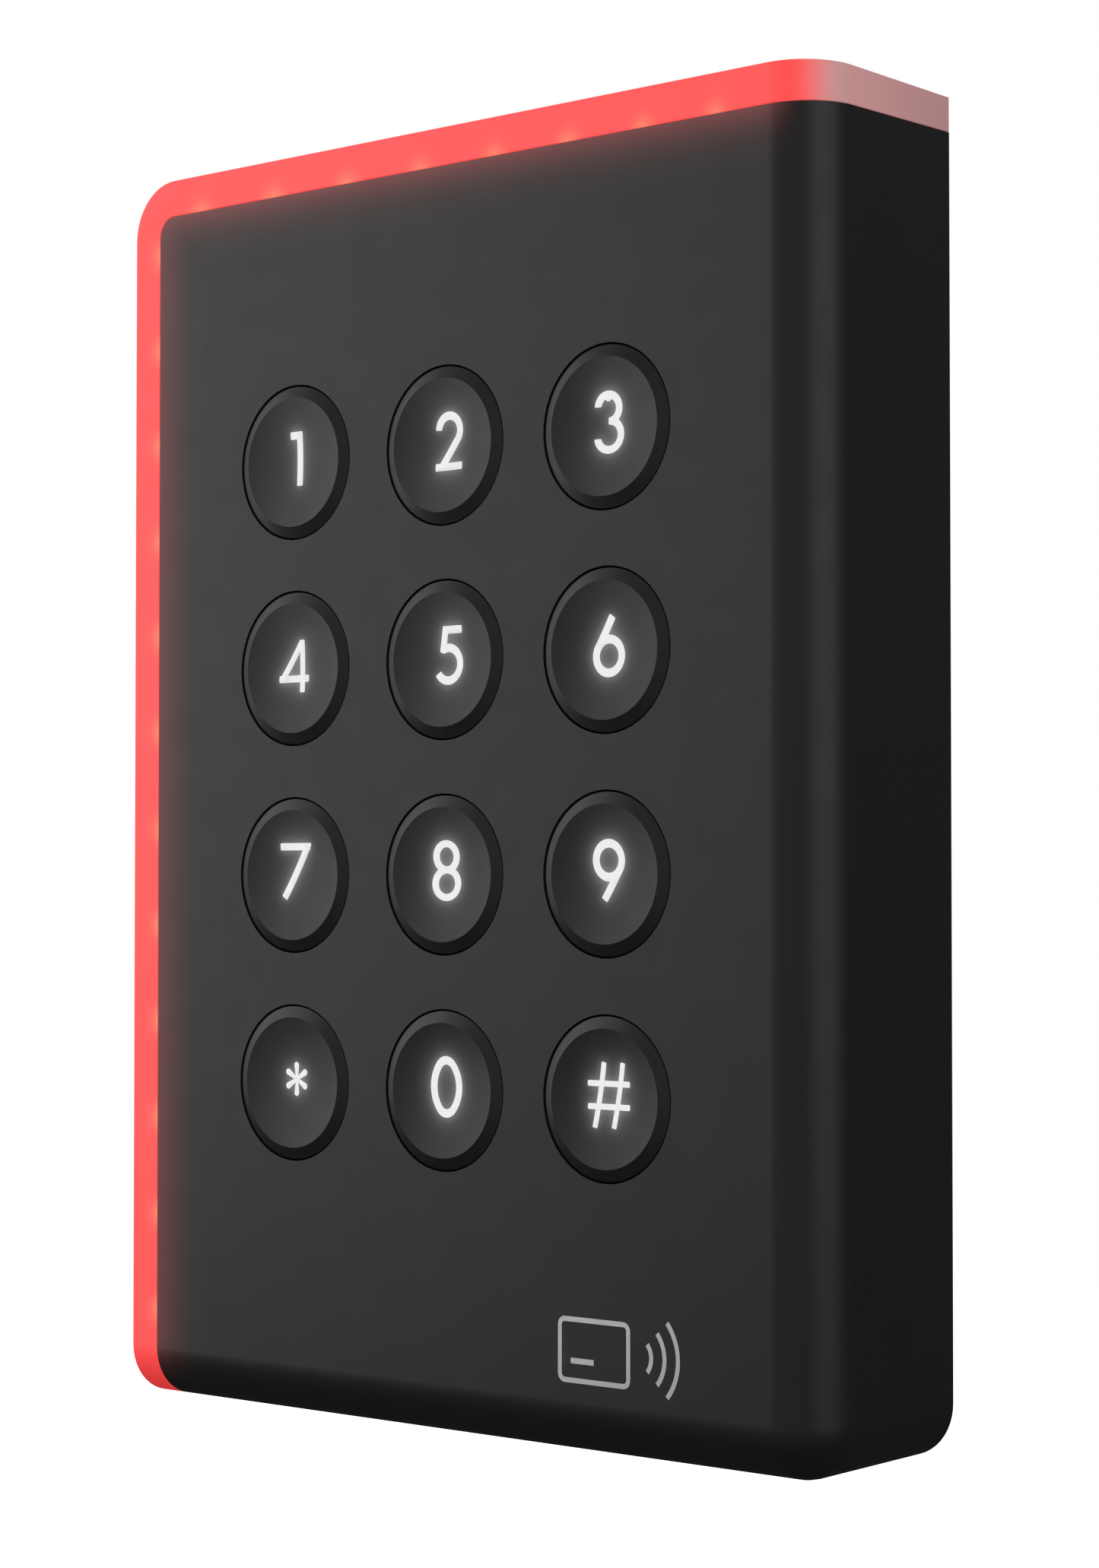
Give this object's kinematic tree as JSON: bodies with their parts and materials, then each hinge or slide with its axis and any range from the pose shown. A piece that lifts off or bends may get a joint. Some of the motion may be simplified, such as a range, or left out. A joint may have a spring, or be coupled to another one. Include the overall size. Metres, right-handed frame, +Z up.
{
  "type": "keypad access reader",
  "caption": "Slim upright wall reader with dished backlit round keys in a black cover, an L-shaped red light guide along its top and left, and a hang-on wall plate",
  "frame": {"origin": "on the wall plane behind the reader, half-way up and on the centre line of its keys", "axes": "+Z up, +Y into the wall, +X to the right as the user sees the front"},
  "size_m": [0.0854, 0.0203, 0.1199],
  "materials": {
    "black_cover": "fine satin texture on moulded charcoal plastic",
    "light_guide": "frosted translucent plastic lit red from its inner edges",
    "grey_mark": "flush grey inlay",
    "silicone_mat": "translucent silicone rubber",
    "carbon_pills": "conductive carbon rubber",
    "white_lamps": "white surface-mount lamps",
    "green_board": "solder-masked glass-fibre board",
    "white_strip": "white flexible lamp strip",
    "red_lamps": "red side lamps",
    "copper_coil": "enamelled copper winding",
    "chip_black": "moulded packages",
    "buzzer_black": "moulded sounder case",
    "socket_white": "moulded socket shell",
    "pin_metal": "plated square pins",
    "switch_body": "moulded switch body",
    "plunger_white": "white plunger",
    "base_black": "moulded black plastic",
    "plate_steel": "zinc-plated pressed steel",
    "screw_steel": "plated steel",
    "key_black": "satin black moulded shell",
    "key_legend": "translucent white core that shows as the lit sign"
  },
  "bodies": {
    "housing": {"antenna_coil": "copper_coil", "board_components": "chip_black", "buzzer": "buzzer_black", "card_mark": "grey_mark", "case_screws": "screw_steel", "contact_pills": "carbon_pills", "controller_chip": "chip_black", "front_cover": "black_cover", "key_backlights": "white_lamps", "keypad_mat": "silicone_mat", "left_edge_lights": "red_lamps", "left_light_strip": "white_strip", "light_guide": "light_guide", "main_board": "green_board", "mounting_plate": "plate_steel", "radio_chip": "chip_black", "rear_base": "base_black", "security_screw": "screw_steel", "socket_pins": "pin_metal", "tamper_switch": "switch_body", "top_edge_lights": "red_lamps", "top_light_strip": "white_strip", "wiring_socket": "socket_white"},
    "key_1": {"key_cap_1": "key_black", "key_legend_1": "key_legend"},
    "key_2": {"key_cap_2": "key_black", "key_legend_2": "key_legend"},
    "key_3": {"key_cap_3": "key_black", "key_legend_3": "key_legend"},
    "key_4": {"key_cap_4": "key_black", "key_legend_4": "key_legend"},
    "key_5": {"key_cap_5": "key_black", "key_legend_5": "key_legend"},
    "key_6": {"key_cap_6": "key_black", "key_legend_6": "key_legend"},
    "key_7": {"key_cap_7": "key_black", "key_legend_7": "key_legend"},
    "key_8": {"key_cap_8": "key_black", "key_legend_8": "key_legend"},
    "key_9": {"key_cap_9": "key_black", "key_legend_9": "key_legend"},
    "key_star": {"key_cap_star": "key_black", "key_legend_star": "key_legend"},
    "key_0": {"key_cap_0": "key_black", "key_legend_0": "key_legend"},
    "key_hash": {"key_cap_hash": "key_black", "key_legend_hash": "key_legend"},
    "tamper_plunger": {"tamper_plunger": "plunger_white"}
  },
  "joints": [
    {"name": "key_1_press", "type": "slide", "parent": "housing", "child": "key_1", "axis": [0, 1, 0], "range_m": [0, 0.001], "stiffness_N_per_m": 1200, "deforming": ["keypad_mat", "contact_pills"]},
    {"name": "key_2_press", "type": "slide", "parent": "housing", "child": "key_2", "axis": [0, 1, 0], "range_m": [0, 0.001], "stiffness_N_per_m": 1200, "deforming": ["keypad_mat", "contact_pills"]},
    {"name": "key_3_press", "type": "slide", "parent": "housing", "child": "key_3", "axis": [0, 1, 0], "range_m": [0, 0.001], "stiffness_N_per_m": 1200, "deforming": ["keypad_mat", "contact_pills"]},
    {"name": "key_4_press", "type": "slide", "parent": "housing", "child": "key_4", "axis": [0, 1, 0], "range_m": [0, 0.001], "stiffness_N_per_m": 1200, "deforming": ["keypad_mat", "contact_pills"]},
    {"name": "key_5_press", "type": "slide", "parent": "housing", "child": "key_5", "axis": [0, 1, 0], "range_m": [0, 0.001], "stiffness_N_per_m": 1200, "deforming": ["keypad_mat", "contact_pills"]},
    {"name": "key_6_press", "type": "slide", "parent": "housing", "child": "key_6", "axis": [0, 1, 0], "range_m": [0, 0.001], "stiffness_N_per_m": 1200, "deforming": ["keypad_mat", "contact_pills"]},
    {"name": "key_7_press", "type": "slide", "parent": "housing", "child": "key_7", "axis": [0, 1, 0], "range_m": [0, 0.001], "stiffness_N_per_m": 1200, "deforming": ["keypad_mat", "contact_pills"]},
    {"name": "key_8_press", "type": "slide", "parent": "housing", "child": "key_8", "axis": [0, 1, 0], "range_m": [0, 0.001], "stiffness_N_per_m": 1200, "deforming": ["keypad_mat", "contact_pills"]},
    {"name": "key_9_press", "type": "slide", "parent": "housing", "child": "key_9", "axis": [0, 1, 0], "range_m": [0, 0.001], "stiffness_N_per_m": 1200, "deforming": ["keypad_mat", "contact_pills"]},
    {"name": "key_star_press", "type": "slide", "parent": "housing", "child": "key_star", "axis": [0, 1, 0], "range_m": [0, 0.001], "stiffness_N_per_m": 1200, "deforming": ["keypad_mat", "contact_pills"]},
    {"name": "key_0_press", "type": "slide", "parent": "housing", "child": "key_0", "axis": [0, 1, 0], "range_m": [0, 0.001], "stiffness_N_per_m": 1200, "deforming": ["keypad_mat", "contact_pills"]},
    {"name": "key_hash_press", "type": "slide", "parent": "housing", "child": "key_hash", "axis": [0, 1, 0], "range_m": [0, 0.001], "stiffness_N_per_m": 1200, "deforming": ["keypad_mat", "contact_pills"]},
    {"name": "tamper_plunger_travel", "type": "slide", "parent": "housing", "child": "tamper_plunger", "axis": [0, 1, 0], "range_m": [0, 0.0012], "stiffness_N_per_m": 400}
  ]
}
